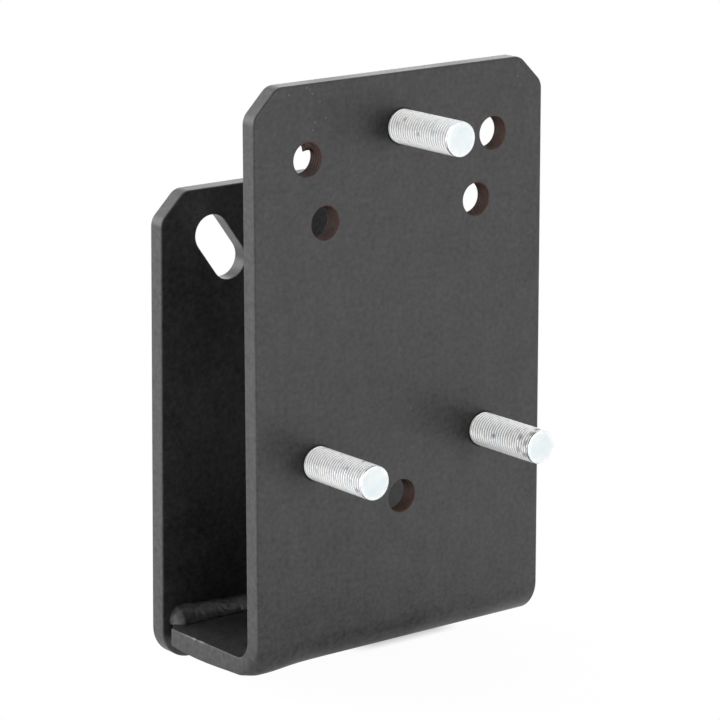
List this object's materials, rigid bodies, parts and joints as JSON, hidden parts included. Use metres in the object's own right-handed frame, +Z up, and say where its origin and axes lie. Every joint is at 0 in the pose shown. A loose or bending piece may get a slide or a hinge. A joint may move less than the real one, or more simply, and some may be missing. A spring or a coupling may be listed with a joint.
{
  "type": "spare tire relocation bracket",
  "caption": "Folded and welded steel bracket that moves a spare wheel away from its carrier: studded front plate, flange, slotted back plate",
  "frame": {"origin": "centre of the stud circle, on the front plate's front face, where the wheel's hub face seats", "axes": "+X to the right seen from the wheel side, +Y back towards the vehicle, +Z up"},
  "size_m": [0.1274, 0.098, 0.2174],
  "materials": {
    "powder_coat": "satin black powder coat",
    "zinc": "bright zinc plate",
    "weld_coat": "black powder coat over a weld bead"
  },
  "bodies": {
    "root": {"front_plate": "powder_coat", "back_plate": "powder_coat", "stud_top": "zinc", "stud_lower_left": "zinc", "stud_lower_right": "zinc", "weld_upper": "weld_coat", "weld_lower": "weld_coat"}
  },
  "joints": []
}
